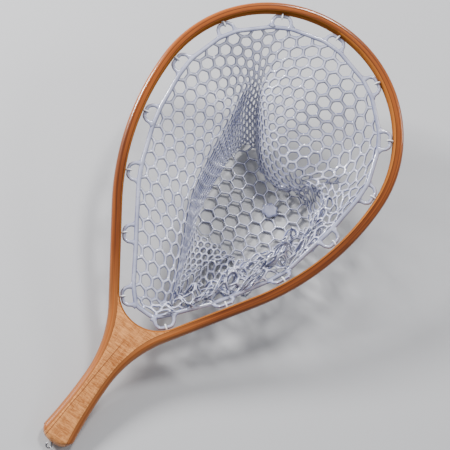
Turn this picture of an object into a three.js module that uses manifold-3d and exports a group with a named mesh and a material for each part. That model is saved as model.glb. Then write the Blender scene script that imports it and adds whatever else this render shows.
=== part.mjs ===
// A wooden hand landing net with a soft rubber mesh bag, lying at rest on a flat surface.
// Millimetres, +Z up, +Y from the handle's butt to the hoop's tip, mouth of the bag up.
// The frame is drawn flat, in its own plane, and then tilted as it lies on the collapsed bag.
import * as THREE from 'three';
import { mergeVertices } from 'three/addons/utils/BufferGeometryUtils.js';
import Module from 'manifold-3d';

const wasm = await Module();
wasm.setup();

// Outline of the wooden frame, along its outer edge
const netLength = 529;
const tipRadius = 139;
const sideRadius = 292;
const neckRadius = 125;
const neckHalfWidth = 13.6;
const neckFromButt = 75;
const buttHalfWidth = 17.4;
const buttRound = 13;
const buttSquareness = 0.85;
const throatFromButt = 143.5;

// Laminations, from the outside in
const glueGap = 0.3;
const outerStripThickness = 4;
const veneerThickness = 0.7;
const middleStripThickness = 3.6;
const linerThickness = 1.5;
const handleSlimming = 0.42; // share of both thick strips that is shaped away along the handle
const woodDepth = 13;

// Screw eye in the butt
const eyeWire = 1.8;
const eyeOffset = -1.1;
const eyeInside = 1.7;
const eyeShankOut = 1.2;
const eyeShankIn = 16;
const eyeOpenAngle = 300;

// Tabs, hem and lacing
const tabCount = 15;
const tabToHoop = 1.2;
const tabDepth = 13;
const tabHalfWidth = 10.5;
const tabBar = 3;
const tabThickness = 2.2;
const tabShoulder = 5;
const tabFoot = 3.5;
const hemWidth = 3.6;
const hemThickness = 3.2;
const partGap = 0.3;
const lacingLine = 0.9;
const lacingHole = 3.6;
const lacingDepth = 7;

// Collapsed bag
const restTilt = 12;
const bagWall = 2.4;
const bagSag = 0.35;
const floorCentreX = 34;
const floorFromWidest = 62;
const floorHalfWidth = 62;
const floorHalfLength = 82;
const discRadius = 8.5;
const discThickness = 2;
const discX = 10;
const discY = 15;

// Smoothness
const arcSteps = 16;
const longArcSteps = 11;
const flareSteps = 8;
const eyeSteps = 14;
const lineSides = 6;

const radians = THREE.MathUtils.degToRad;
const uStripThickness = outerStripThickness + veneerThickness + middleStripThickness + 2 * glueGap;
const bandWidth = uStripThickness + glueGap + linerThickness;
const centreY = netLength - tipRadius;
const floorY = centreY - floorFromWidest;
const tilt = radians(restTilt);

// The straight taper is the line that touches both the side arc and the neck arc.
function taperNormal() {
  const side = new THREE.Vector2(tipRadius - sideRadius, centreY);
  const neck = new THREE.Vector2(neckHalfWidth + neckRadius, neckFromButt);
  const between = neck.sub(side);
  const turn = Math.acos((sideRadius + neckRadius) / between.length());
  const angle = between.angle() + turn;
  return new THREE.Vector2(Math.cos(angle), Math.sin(angle));
}

// The throat's circle touches both inner taper lines and stands at its distance from the butt.
function throatRadius(normal) {
  const sideX = tipRadius - sideRadius;
  const lineDistance = sideX * normal.x + centreY * normal.y + sideRadius - bandWidth;
  return (lineDistance - throatFromButt * normal.y) / (1 + normal.y);
}

const taper = taperNormal();
const taperAngle = Math.atan2(taper.y, taper.x);
const throat = throatRadius(taper);
const throatY = throatFromButt + throat;
const flareDrop = neckFromButt - buttRound;
const flareWiden = buttHalfWidth - neckHalfWidth;
const flareRadius = (flareDrop ** 2 + flareWiden ** 2) / (2 * flareWiden);

function arcPoints(x, y, radius, from, to, steps) {
  const points = [];
  for (let i = 0; i <= steps; i += 1) {
    const angle = from + ((to - from) * i) / steps;
    points.push(new THREE.Vector2(x + radius * Math.cos(angle), y + radius * Math.sin(angle)));
  }
  return points;
}

function mirrored(points) {
  return points.map((point) => new THREE.Vector2(-point.x, point.y)).reverse();
}

// Right half of the line at a distance inside the outer edge, from the tip to the taper.
function upperHalf(inset) {
  return [
    ...arcPoints(0, centreY, tipRadius - inset, Math.PI / 2, 0, arcSteps),
    ...arcPoints(tipRadius - sideRadius, centreY, sideRadius - inset, 0, taperAngle, longArcSteps).slice(1),
  ];
}

// An inset where the two thick strips are thinner, by a share of the whole slimming.
function slimmed(inset, share) {
  const middleStart = outerStripThickness + veneerThickness + 2 * glueGap;
  const outer = Math.min(inset, outerStripThickness);
  const middle = THREE.MathUtils.clamp(inset - middleStart, 0, middleStripThickness);
  return inset - share * handleSlimming * (outer + middle);
}

// The neck's arc at an inset that slims smoothly from the taper to the narrowest place.
function neckPoints(inset) {
  const points = [];
  for (let i = 0; i <= longArcSteps; i += 1) {
    const share = i / longArcSteps;
    const angle = Math.PI + taperAngle * (1 - share);
    const radius = neckRadius + slimmed(inset, THREE.MathUtils.smoothstep(share, 0, 1));
    const x = neckHalfWidth + neckRadius + radius * Math.cos(angle);
    points.push(new THREE.Vector2(x, neckFromButt + radius * Math.sin(angle)));
  }
  return points;
}

// Right half of the same line from the taper down past the butt.
function handleHalf(inset) {
  const flareX = neckHalfWidth + flareRadius;
  const radius = flareRadius + slimmed(inset, 1);
  const flareEnd = Math.PI + Math.asin((neckFromButt + buttRound) / flareRadius);
  return [
    ...neckPoints(inset),
    ...arcPoints(flareX, neckFromButt, radius, Math.PI, flareEnd, flareSteps).slice(1),
  ];
}

// Closed line round the opening, clockwise from the tip, at a distance inside the outer edge.
function openingLoop(inset) {
  const radius = throat + bandWidth - inset;
  const half = [
    ...upperHalf(inset),
    ...arcPoints(0, throatY, radius, taperAngle, -Math.PI / 2, arcSteps / 2),
  ];
  return [...half, ...mirrored(half).slice(1, -1)];
}

function sideToSide(inset) {
  const half = [...upperHalf(inset), ...handleHalf(inset)];
  return [...mirrored(half).slice(0, -1), ...half];
}

function extruded(outline, depth, holes = []) {
  const anticlockwise = THREE.ShapeUtils.isClockWise(outline) ? [...outline].reverse() : outline;
  const shape = new THREE.Shape(anticlockwise);
  shape.holes = holes.map((hole) => new THREE.Path(hole));
  const geometry = new THREE.ExtrudeGeometry(shape, { depth, bevelEnabled: false });
  return geometry.translate(0, 0, -depth / 2);
}

function toSolid(geometry) {
  const bare = geometry.clone();
  bare.deleteAttribute('normal');
  bare.deleteAttribute('uv');
  const merged = mergeVertices(bare);
  return new wasm.Manifold(new wasm.Mesh({
    numProp: 3,
    vertProperties: new Float32Array(merged.attributes.position.array),
    triVerts: new Uint32Array(merged.index.array),
  }));
}

function toGeometry(solid) {
  const mesh = solid.getMesh();
  const geometry = new THREE.BufferGeometry();
  geometry.setAttribute('position', new THREE.BufferAttribute(mesh.vertProperties, 3));
  geometry.setIndex(new THREE.BufferAttribute(mesh.triVerts, 1));
  return geometry;
}

// Everything that the rounded butt leaves standing, as one large blank.
function buttBlank() {
  const reach = 2 * tipRadius;
  const curve = [];
  for (let i = 0; i <= 2 * arcSteps; i += 1) {
    const angle = Math.PI + (Math.PI * i) / (2 * arcSteps);
    const x = buttHalfWidth * Math.sign(Math.cos(angle)) * Math.abs(Math.cos(angle)) ** buttSquareness;
    const y = buttRound + buttRound * Math.sin(angle);
    curve.push(new THREE.Vector2(x, y));
  }
  const outline = [
    new THREE.Vector2(-reach, netLength + reach),
    new THREE.Vector2(-reach, buttRound),
    ...curve,
    new THREE.Vector2(reach, buttRound),
    new THREE.Vector2(reach, netLength + reach),
  ];
  return toSolid(extruded(outline, 2 * woodDepth));
}

// The closed inner face of the hoop and the throat, which carries the tabs.
const faceLoop = openingLoop(bandWidth);
const facePath = new THREE.Path([...faceLoop, faceLoop[0]]);
const faceLength = facePath.getLength();

function alongFace(distance) {
  const share = THREE.MathUtils.euclideanModulo(distance / faceLength, 1);
  const point = facePath.getPointAt(share);
  const ahead = facePath.getTangentAt(share);
  return { point, ahead, outward: new THREE.Vector2(-ahead.y, ahead.x) };
}

function insideFace(distance, inset) {
  const { point, outward } = alongFace(distance);
  return point.addScaledVector(outward, -inset);
}

function tabDistance(index) {
  return (faceLength * index) / tabCount;
}

// A frame whose Y points out of the opening at a tab, in the plane of the hoop.
function placeAtTab(mesh, index) {
  const { point, outward } = alongFace(tabDistance(index));
  mesh.position.set(point.x, point.y, 0);
  mesh.rotation.z = Math.atan2(outward.y, outward.x) - Math.PI / 2;
  return mesh;
}

// Lacing holes, right through the hoop and blind in the throat's solid wood.
function drilled(solid) {
  let result = solid;
  for (let index = 0; index < tabCount; index += 1) {
    const length = 4 * bandWidth;
    const bit = new THREE.Mesh(new THREE.CylinderGeometry(lacingHole / 2, lacingHole / 2, length, 8));
    placeAtTab(bit, index);
    bit.updateMatrix();
    const blind = bit.position.y < throatFromButt + throat / 2;
    const shift = blind ? lacingDepth + lacingLine + partGap - length / 2 : 0;
    const geometry = bit.geometry.translate(0, shift, 0).applyMatrix4(bit.matrix);
    result = result.subtract(toSolid(geometry));
  }
  return result;
}

function material(color, roughness, metalness = 0) {
  return new THREE.MeshStandardMaterial({ color, roughness, metalness });
}

function named(name, geometry, look) {
  const mesh = new THREE.Mesh(geometry, look);
  mesh.name = name;
  return mesh;
}

const reddishWood = material(0xb4622c, 0.3);
const darkWood = material(0x5a2a14, 0.35);
const linerWood = material(0xc08a55, 0.35);
const mapleWood = material(0xd9a873, 0.3);
const clearRubber = material(0xdfe3ee, 0.35);
const lacing = material(0xf4f4f4, 0.3);
const steel = material(0xc8c8c8, 0.25, 1);

// A strip bent round the tip with both tails running down the handle.
function bentStrip(name, inset, thickness, look, blank) {
  const outline = [...sideToSide(inset), ...sideToSide(inset + thickness).reverse()];
  const strip = toSolid(extruded(outline, woodDepth)).intersect(blank);
  return named(name, toGeometry(drilled(strip)), look);
}

function bentStrips(blank) {
  const veneerInset = outerStripThickness + glueGap;
  const middleInset = veneerInset + veneerThickness + glueGap;
  return [
    bentStrip('hoop_outer_strip', 0, outerStripThickness, reddishWood, blank),
    bentStrip('hoop_dark_veneer', veneerInset, veneerThickness, darkWood, blank),
    bentStrip('hoop_middle_strip', middleInset, middleStripThickness, reddishWood, blank),
  ];
}

function innerLiner() {
  const outer = openingLoop(bandWidth - linerThickness);
  const solid = toSolid(extruded(outer, woodDepth, [openingLoop(bandWidth)]));
  return named('hoop_inner_liner', toGeometry(drilled(solid)), linerWood);
}

function eyeBore() {
  const depth = eyeShankIn + glueGap;
  const bore = new THREE.CylinderGeometry(eyeWire / 2 + glueGap, eyeWire / 2 + glueGap, 2 * depth, 12);
  return toSolid(bore.translate(eyeOffset, 0, 0));
}

function handleCore(blank) {
  const inset = uStripThickness + glueGap;
  const half = handleHalf(inset);
  const top = upperHalf(inset).at(-1);
  const wedge = [top, ...half];
  const outline = [...wedge, ...mirrored(wedge)];
  const opening = toSolid(extruded(openingLoop(bandWidth - linerThickness - glueGap), 2 * woodDepth));
  const solid = toSolid(extruded(outline, woodDepth)).intersect(blank).subtract(opening).subtract(eyeBore());
  return named('handle_core', toGeometry(drilled(solid)), mapleWood);
}

function sectionCircle(radius, sides) {
  return new THREE.Shape(arcPoints(0, 0, radius, 0, 2 * Math.PI, sides).slice(0, -1));
}

// Straight shank up the butt's bore and an open round eye outside it.
function screwEye() {
  const middle = eyeInside + eyeWire / 2;
  const centre = -eyeShankOut - middle;
  const points = [new THREE.Vector3(eyeOffset, eyeShankIn, 0), new THREE.Vector3(eyeOffset, 0, 0)];
  for (let i = 0; i <= eyeSteps; i += 1) {
    const angle = Math.PI / 2 - (radians(eyeOpenAngle) * i) / eyeSteps;
    const x = eyeOffset + middle * Math.cos(angle);
    points.push(new THREE.Vector3(x, centre + middle * Math.sin(angle), 0));
  }
  const path = new THREE.CatmullRomCurve3(points, false, 'centripetal');
  const section = sectionCircle(eyeWire / 2, 8);
  const geometry = new THREE.ExtrudeGeometry(section, { steps: 2 * eyeSteps, extrudePath: path });
  return named('screw_eye', geometry, steel);
}

// A flat moulded loop with wide feet on the hem, drawn with the hoop's face at y = 0.
function tabGeometry() {
  const outerY = -tabToHoop;
  const footY = -tabDepth + partGap;
  const cornerX = -tabHalfWidth + tabShoulder;
  const cornerY = outerY - tabShoulder;
  const foot = [
    new THREE.Vector2(-tabHalfWidth - tabFoot, footY),
    new THREE.Vector2(-tabHalfWidth, footY + tabFoot),
  ];
  const left = [...foot, ...arcPoints(cornerX, cornerY, tabShoulder, Math.PI, Math.PI / 2, 5)];
  const outline = [...left, ...mirrored(left)];
  const holeTop = arcPoints(cornerX, cornerY, tabShoulder - tabBar, Math.PI, Math.PI / 2, 4);
  const holeHalf = [new THREE.Vector2(-tabHalfWidth + tabBar + 1, footY + tabBar / 2), ...holeTop];
  return extruded(outline, tabThickness, [[...holeHalf, ...mirrored(holeHalf)]]);
}

function tabs() {
  const list = [];
  for (let index = 0; index < tabCount; index += 1) {
    const name = `bag_tab_${String(index + 1).padStart(2, '0')}`;
    list.push(placeAtTab(named(name, tabGeometry(), clearRubber), index));
  }
  return list;
}

// One loop of line out of the hole in the hoop, round the tab's bar and back into the hole.
function stitchGeometry() {
  const apart = lacingLine / 2 + 0.15;
  const clear = lacingLine / 2 + partGap;
  const near = -tabToHoop;
  const far = near - tabBar - clear;
  const height = tabThickness / 2 + clear;
  const half = [
    new THREE.Vector3(0, lacingDepth - apart, apart),
    new THREE.Vector3(0, lacingLine, apart),
    new THREE.Vector3(0, near / 4, (2 * apart + height) / 3),
    new THREE.Vector3(0, near - partGap, height),
    new THREE.Vector3(0, far + clear, height),
  ];
  const lower = half.map((point) => new THREE.Vector3(point.x, point.y, -point.z)).reverse();
  const inHole = new THREE.Vector3(0, lacingDepth, 0);
  const roundBar = new THREE.Vector3(0, far, 0);
  const points = [inHole, ...half, roundBar, ...lower];
  const path = new THREE.CatmullRomCurve3(points, true, 'centripetal');
  return new THREE.TubeGeometry(path, 24, lacingLine / 2, lineSides, true);
}

function stitches() {
  const list = [];
  for (let index = 0; index < tabCount; index += 1) {
    const name = `lacing_stitch_${String(index + 1).padStart(2, '0')}`;
    list.push(placeAtTab(named(name, stitchGeometry(), lacing), index));
  }
  return list;
}

// The hem runs straight between the feet of neighbouring tabs.
function hemLoop(inset) {
  const points = [];
  for (let index = 0; index < tabCount; index += 1) {
    points.push(insideFace(tabDistance(index) - tabHalfWidth, inset));
    points.push(insideFace(tabDistance(index) + tabHalfWidth, inset));
  }
  return points;
}

function hem() {
  const inner = hemLoop(tabDepth + hemWidth);
  const geometry = extruded(hemLoop(tabDepth), hemThickness, [inner]);
  return named('bag_hem', geometry, clearRubber);
}

// Rings of points joined into one closed skin, its first and last rings closed by a fan.
function ringSolid(rings) {
  const count = rings[0].length;
  const positions = rings.flat().flatMap((point) => [point.x, point.y, point.z]);
  const index = [];
  for (let r = 0; r + 1 < rings.length; r += 1) {
    for (let i = 0; i < count; i += 1) {
      const a = r * count + i;
      const b = r * count + ((i + 1) % count);
      index.push(a, b + count, b, a, a + count, b + count);
    }
  }
  const centres = [rings[0], rings.at(-1)].map((ring) => ring
    .reduce((sum, point) => sum.add(point), new THREE.Vector3()).divideScalar(count));
  const first = positions.length / 3;
  const last = (rings.length - 1) * count;
  for (const centre of centres) {
    positions.push(centre.x, centre.y, centre.z);
  }
  for (let i = 0; i < count; i += 1) {
    const next = (i + 1) % count;
    index.push(first, i, next);
    index.push(first + 1, last + next, last + i);
  }
  const geometry = new THREE.BufferGeometry();
  geometry.setAttribute('position', new THREE.Float32BufferAttribute(positions, 3));
  geometry.setIndex(index);
  return geometry;
}

function liftHeight() {
  return (woodDepth / 2) * Math.cos(tilt);
}

// Place of a point of the hoop's plane when the net lies on its butt and its bag.
function lifted(point, height) {
  return new THREE.Vector3(point.x, point.y, height)
    .applyAxisAngle(new THREE.Vector3(1, 0, 0), tilt)
    .add(new THREE.Vector3(0, 0, liftHeight()));
}

// A ring of the bag's wall: a share of the way from the hem down to the floor's oval.
function bagRing(share, inset) {
  const rimHeight = -hemThickness / 2 - partGap;
  const width = floorHalfWidth - inset;
  const length = floorHalfLength - inset;
  return hemLoop(tabDepth + inset).map((point) => {
    const rim = lifted(point, rimHeight);
    const angle = Math.atan2(point.x / tipRadius, (point.y - floorY) / sideRadius);
    const x = floorCentreX + width * Math.sin(angle);
    const y = floorY + length * Math.cos(angle);
    const ring = rim.lerp(new THREE.Vector3(x, y, 0), share);
    ring.z = Math.max(ring.z * (1 - bagSag * share * (1 - share)), 0);
    return ring;
  });
}

function bag() {
  const levels = [0, 0.2, 0.4, 0.6, 0.8];
  const outside = levels.map((share) => bagRing(share, 0));
  const inside = levels.map((share) => bagRing(share, bagWall));
  const under = bagRing(1, 0);
  const above = bagRing(1, bagWall * 2).map((point) => point.setZ(bagWall));
  const rings = [under, ...outside.reverse(), ...inside, above];
  return named('bag_body', ringSolid(rings), clearRubber);
}

function mouldingDisc() {
  const disc = new THREE.CylinderGeometry(discRadius, discRadius, discThickness, 24).rotateX(Math.PI / 2);
  const mesh = named('bag_moulding_disc', disc, clearRubber);
  const height = bagWall + partGap + discThickness / 2;
  mesh.position.set(floorCentreX + discX, floorY + discY, height);
  return mesh;
}

function landingNet() {
  const frame = new THREE.Group();
  const blank = buttBlank();
  frame.add(...bentStrips(blank), innerLiner(), handleCore(blank), screwEye());
  frame.add(...tabs(), ...stitches(), hem());
  frame.rotation.x = tilt;
  frame.position.z = liftHeight();
  const net = new THREE.Group();
  net.add(frame, bag(), mouldingDisc());
  const box = new THREE.Box3().setFromObject(net, true);
  net.position.y = -(box.min.y + box.max.y) / 2;
  return net;
}

export default landingNet();
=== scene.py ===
import math

import bpy
import numpy as np
from bpy.props import FloatProperty, FloatVectorProperty, IntProperty, PointerProperty
from mathutils import Matrix, Vector


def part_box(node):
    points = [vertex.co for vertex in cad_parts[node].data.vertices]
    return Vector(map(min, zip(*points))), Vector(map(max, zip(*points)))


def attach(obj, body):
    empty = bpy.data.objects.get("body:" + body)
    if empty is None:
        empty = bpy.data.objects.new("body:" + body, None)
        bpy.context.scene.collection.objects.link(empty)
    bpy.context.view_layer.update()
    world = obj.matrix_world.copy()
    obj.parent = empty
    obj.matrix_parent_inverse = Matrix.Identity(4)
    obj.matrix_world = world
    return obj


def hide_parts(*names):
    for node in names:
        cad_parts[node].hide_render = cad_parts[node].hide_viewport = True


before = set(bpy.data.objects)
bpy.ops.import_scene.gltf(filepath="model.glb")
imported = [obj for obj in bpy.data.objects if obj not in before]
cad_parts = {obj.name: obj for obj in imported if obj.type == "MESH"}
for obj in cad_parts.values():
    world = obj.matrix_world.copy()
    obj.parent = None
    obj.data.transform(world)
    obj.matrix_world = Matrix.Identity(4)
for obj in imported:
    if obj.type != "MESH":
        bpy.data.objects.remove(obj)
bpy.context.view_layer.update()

bl_info = {
    "name": "Wooden landing net",
    "version": (1, 0, 0),
    "blender": (4, 5, 0),
    "location": "3D View > Sidebar > Landing net",
    "description": "Builds a laminated wooden landing net with a soft rubber mesh bag",
    "category": "Object",
}

BODY = "root"
TAB_COUNT = 15
SEED = 7
ORIGIN = np.zeros(3)


def length(name, description, default):
    return FloatProperty(
        name=name, description=description, default=default, unit="LENGTH", precision=5
    )


def colour(name, description, default):
    return FloatVectorProperty(
        name=name, description=description, default=default, subtype="COLOR", size=3, min=0, max=1
    )


class WoodSizes(bpy.types.PropertyGroup):
    """Outline and laminations of the wooden frame, as in the solid model."""

    net_length: length("Length", "Butt to tip along the wood", 0.529)
    tip_radius: length("Tip radius", "Outer edge round the tip, half the widest width", 0.139)
    side_radius: length("Side radius", "Outer edge from the widest place to the taper", 0.292)
    neck_radius: length("Neck radius", "Hollow curve where the hoop meets the handle", 0.125)
    neck_half: length("Neck half width", "Half the handle's narrowest width", 0.0136)
    neck_from_butt: length("Neck place", "Narrowest place, from the butt", 0.075)
    butt_half: length("Butt half width", "Half the width above the butt's round end", 0.0174)
    butt_round: length("Butt round", "Length of the butt's round end", 0.013)
    butt_squareness: FloatProperty(
        name="Butt squareness", description="Below 1 is squarer", default=0.85
    )
    throat_from_butt: length("Throat place", "Start of the opening, from the butt", 0.1435)
    slimming: FloatProperty(
        name="Handle slimming", default=0.42,
        description="Share of both thick strips shaped away along the handle",
    )
    depth: length("Depth", "Thickness of the wood", 0.013)
    outer_strip: length("Outer strip", "Thickness of the outer strip", 0.004)
    veneer: length("Dark veneer", "Thickness of the dark strip", 0.0007)
    middle_strip: length("Middle strip", "Thickness of the second strip", 0.0036)
    liner: length("Liner", "Thickness of the inner liner", 0.0015)
    glue: length("Glue line", "Gap that stands for a glue line", 0.0003)
    hoop_corner: length("Hoop rounding", "Radius of the hoop's outer edges", 0.0042)
    handle_corner: length("Handle rounding", "Radius of the handle's edges", 0.0095)
    inner_corner: length("Inner rounding", "Radius of the opening's edges", 0.0022)
    butt_corner: length("Butt rounding", "Radius of the butt's edges", 0.0075)
    rest_tilt: FloatProperty(
        name="Rest tilt", description="Slope of the frame as it lies on its bag",
        default=math.radians(12), subtype="ANGLE",
    )


class BagSizes(bpy.types.PropertyGroup):
    """Sizes of the rubber bag, its tabs and its lacing."""

    tab_gap: length("Tab gap", "From the hoop's face to a tab's bar", 0.0012)
    tab_depth: length("Tab depth", "From the hoop's face to the hem", 0.013)
    tab_half: length("Tab half width", "Half the distance between a tab's feet", 0.0105)
    tab_bar: length("Tab bar", "Width of a tab's bar", 0.0038)
    hem_width: length("Hem width", "Width of the band round the bag's mouth", 0.0048)
    hem_depth: length("Hem thickness", "Thickness of that band", 0.0030)
    columns: IntProperty(
        name="Columns", description="Columns of cells round the bag, an even number", default=64
    )
    rows: IntProperty(
        name="Rows", description="Rows of cells from the hem to the floor", default=14
    )
    strand: length("Strand", "Width of a strand of the mesh", 0.0034)
    strand_depth: length("Strand depth", "Thickness of a strand of the mesh", 0.0021)
    floor_cell: length("Floor cell", "Distance between neighbouring cells of the floor", 0.0152)
    line: length("Lacing line", "Diameter of the lacing line", 0.0016)
    disc_radius: length("Disc radius", "Radius of the solid spot in the floor", 0.0086)
    droop: FloatProperty(
        name="Droop", description="How far the hem and tabs turn down where the bag is bunched",
        default=math.radians(62), subtype="ANGLE",
    )
    eye_wire: length("Eye wire", "Diameter of the screw eye's wire", 0.0018)
    eye_inside: length("Eye inside", "Inner radius of the screw eye", 0.0017)


class NetColours(bpy.types.PropertyGroup):
    """Colours of the woods, the rubber, the line and the metal."""

    red_light: colour("Reddish wood, light", "Light grain of the bent strips", (0.37, 0.100, 0.018))
    red_dark: colour("Reddish wood, dark", "Dark grain of the bent strips", (0.080, 0.016, 0.003))
    # Paler tint of the strips along the handle: partly their own tone there, partly painted
    # highlight of the handle's broad rounding.
    handle_tan_and_sheen: colour("Shaped wood", "The same strips along the handle", (0.60, 0.215, 0.055))
    veneer: colour("Dark veneer", "The thin dark strip", (0.17, 0.042, 0.012))
    liner: colour("Liner", "The strip round the opening", (0.40, 0.135, 0.030))
    maple_light: colour("Core, light", "Light figure of the handle core", (0.80, 0.35, 0.115))
    maple_dark: colour("Core, dark", "Dark figure of the handle core", (0.29, 0.085, 0.018))
    # The rubber's two colours are painted light and shade: a strand's top painted lit, its sides
    # painted in shade.
    rubber: colour("Rubber", "Clear rubber along the top of a strand", (0.82, 0.83, 0.96))
    rubber_painted_shade: colour("Rubber edge", "The rubber along a strand's sides", (0.09, 0.105, 0.26))
    line: colour("Line", "Lacing line", (0.95, 0.95, 0.97))
    steel: colour("Steel", "Screw eye", (0.33, 0.33, 0.35))


def wood():
    return bpy.context.scene.net_wood


def rubber():
    return bpy.context.scene.net_bag


def colours():
    return bpy.context.scene.net_colours


# Outline of the wood.


class Outline:
    """Round tip, side arc, straight taper, hollow neck and flared handle, each tangent to the next.

    An inset is a distance inside the outer edge. Arrays of insets give arrays of lines, one column
    for each inset, so that a strip's section can be carried along the outline.
    """

    def __init__(self, sizes):
        self.sizes = sizes
        self.widest_y = sizes.net_length - sizes.tip_radius
        side = np.array([sizes.tip_radius - sizes.side_radius, self.widest_y])
        neck = np.array([sizes.neck_half + sizes.neck_radius, sizes.neck_from_butt])
        between = neck - side
        turn = math.acos((sizes.side_radius + sizes.neck_radius) / np.hypot(*between))
        self.taper = math.atan2(between[1], between[0]) + turn
        self.side, self.neck = side, neck
        self.strips = sizes.outer_strip + sizes.veneer + sizes.middle_strip + 2 * sizes.glue
        self.band = self.strips + sizes.glue + sizes.liner
        normal = np.array([math.cos(self.taper), math.sin(self.taper)])
        line = side @ normal + sizes.side_radius - self.band
        self.throat = (line - sizes.throat_from_butt * normal[1]) / (1 + normal[1])
        self.throat_y = sizes.throat_from_butt + self.throat
        drop = sizes.neck_from_butt - sizes.butt_round
        widen = sizes.butt_half - sizes.neck_half
        self.flare = (drop**2 + widen**2) / (2 * widen)

    def butt_curve(self, x):
        """Height of the butt's round end at x: a superellipse."""
        share = np.clip(np.abs(x) / self.sizes.butt_half, 0, 1) ** (1 / self.sizes.butt_squareness)
        return self.sizes.butt_round * (1 - np.sqrt(1 - share**2))

    def slimmed(self, inset, share):
        """An inset where the two thick strips are thinner, by a share of the whole slimming."""
        sizes = self.sizes
        start = sizes.outer_strip + sizes.veneer + 2 * sizes.glue
        thick = np.minimum(inset, sizes.outer_strip) + np.clip(inset - start, 0, sizes.middle_strip)
        return inset - share * sizes.slimming * thick

    def handle_half(self, y, inset):
        """Half width of the handle at y: the flare's arc below the neck."""
        reach = (self.flare + self.slimmed(inset, 1)) ** 2 - (self.sizes.neck_from_butt - y) ** 2
        return self.sizes.neck_half + self.flare - np.sqrt(reach)

    def upper(self, inset, steps):
        """Tip arc and side arc of the right half, as points by insets by 2."""
        inset = np.asarray(inset)[None, :]
        first = np.linspace(math.pi / 2, 0, steps)[:, None]
        second = np.linspace(0, self.taper, steps)[1:, None]
        tip = self.sizes.tip_radius - inset
        tip = np.stack([tip * np.cos(first), self.widest_y + tip * np.sin(first)], axis=-1)
        side = self.sizes.side_radius - inset
        side = np.stack([side * np.cos(second), side * np.sin(second)], axis=-1) + self.side
        return np.concatenate([tip, side])

    def lower(self, inset, steps):
        """Neck arc and flared handle of the right half down to the butt, and the distance from the
        edge."""
        inset = np.asarray(inset)
        share = np.linspace(0, 1, steps)[:, None]
        angle = math.pi + self.taper * (1 - share)
        near = self.slimmed(inset[None, :], share**2 * (3 - 2 * share))
        neck = self.sizes.neck_radius + near
        neck = np.stack([neck * np.cos(angle), neck * np.sin(angle)], axis=-1) + self.neck
        end = np.zeros_like(inset)
        for _ in range(8):
            end = self.butt_curve(self.handle_half(end, inset))
        share = share[1:] ** 0.8
        y = self.sizes.neck_from_butt + (end - self.sizes.neck_from_butt)[None, :] * share
        flare = np.stack([self.handle_half(y, inset[None, :]), y], axis=-1)
        distance = np.concatenate([near, np.broadcast_to(self.slimmed(inset, 1), y.shape)])
        return np.concatenate([neck, flare]), distance

    def strip(self, inset, steps=40):
        """Whole line from the left butt round the tip to the right butt, and its distance from the
        edge."""
        inset = np.asarray(inset)
        upper = self.upper(inset, steps)
        lower, near = self.lower(inset, steps)
        share = np.linspace(0, 1, steps // 2)[1:-1, None, None]
        taper = upper[-1] * (1 - share) + lower[0] * share
        right = np.concatenate([upper, taper, lower])
        same = np.broadcast_to(inset, (len(upper) + len(taper), len(inset)))
        distance = np.concatenate([same, near])
        left = right[:0:-1] * np.array([-1, 1])
        return np.concatenate([left, right]), np.concatenate([distance[:0:-1], distance])

    def opening(self, inset, steps=40):
        """Closed line round the opening, clockwise from the tip."""
        inset = np.asarray(inset)
        upper = self.upper(inset, steps)
        angle = np.linspace(self.taper, -math.pi / 2, steps)[:, None]
        radius = self.throat + self.band - inset[None, :]
        arc = np.stack([radius * np.cos(angle), self.throat_y + radius * np.sin(angle)], axis=-1)
        share = np.linspace(0, 1, steps // 2)[1:-1, None, None]
        taper = upper[-1] * (1 - share) + arc[0] * share
        right = np.concatenate([upper, taper, arc])
        left = right[-2:0:-1] * np.array([-1, 1])
        return np.concatenate([right, left])


def rounded(height, radius, distance):
    """Half thickness at a distance from a rounded edge: a quarter ellipse, then flat."""
    inside = np.clip(1 - distance / radius, 0, 1)
    drop = np.minimum(radius, 0.9 * height)
    return height - drop + drop * np.sqrt(1 - inside**2)


def lay(points):
    """Plane of the hoop to its place at rest: turned about X by the tilt, lifted and set behind."""
    sizes = wood()
    points = np.asarray(points, dtype=float)
    turn, half = sizes.rest_tilt, sizes.depth / 2
    butt_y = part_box("handle_core")[0][1] + half * math.sin(turn)
    x, y, z = points[..., 0], points[..., 1], points[..., 2]
    across = y * math.cos(turn) - z * math.sin(turn) + butt_y
    up = y * math.sin(turn) + z * math.cos(turn) + half * math.cos(turn)
    return np.stack([x, across, up], axis=-1)


def on_floor(points):
    """Points given from the butt along the floor, moved to the frame's own origin."""
    return np.asarray(points, dtype=float) + np.array([0, lay(ORIGIN)[1], 0])


def at_rest(way, count):
    """A way given in the hoop's plane, turned to its place at rest, once for each point."""
    return np.tile(lay(way) - lay(ORIGIN), (count, 1))


def distances(line):
    """Distance along a line at each of its points."""
    return np.concatenate([[0], np.cumsum(np.linalg.norm(np.diff(line, axis=0), axis=1))])


def unit(ways):
    return ways / np.linalg.norm(ways, axis=-1, keepdims=True)


def tab_places():
    """Evenly spaced places round the opening's face, one for each tab, clockwise from the tip, with
    the way out of the opening and the way along its face at each."""
    sizes = Outline(wood())
    line = sizes.opening([sizes.band], 160)[:, 0]
    line = np.concatenate([line, line[:1]])
    run = distances(line)

    def at(distance):
        distance = np.mod(distance, run[-1])
        return np.stack([np.interp(distance, run, line[:, i]) for i in (0, 1)], axis=-1)

    place = np.arange(TAB_COUNT) * run[-1] / TAB_COUNT
    near = 0.001
    along = unit(at(place + near) - at(place - near))
    outward = np.stack([-along[:, 1], along[:, 0]], axis=-1)
    return at(place), outward, along


# Meshes.


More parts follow.
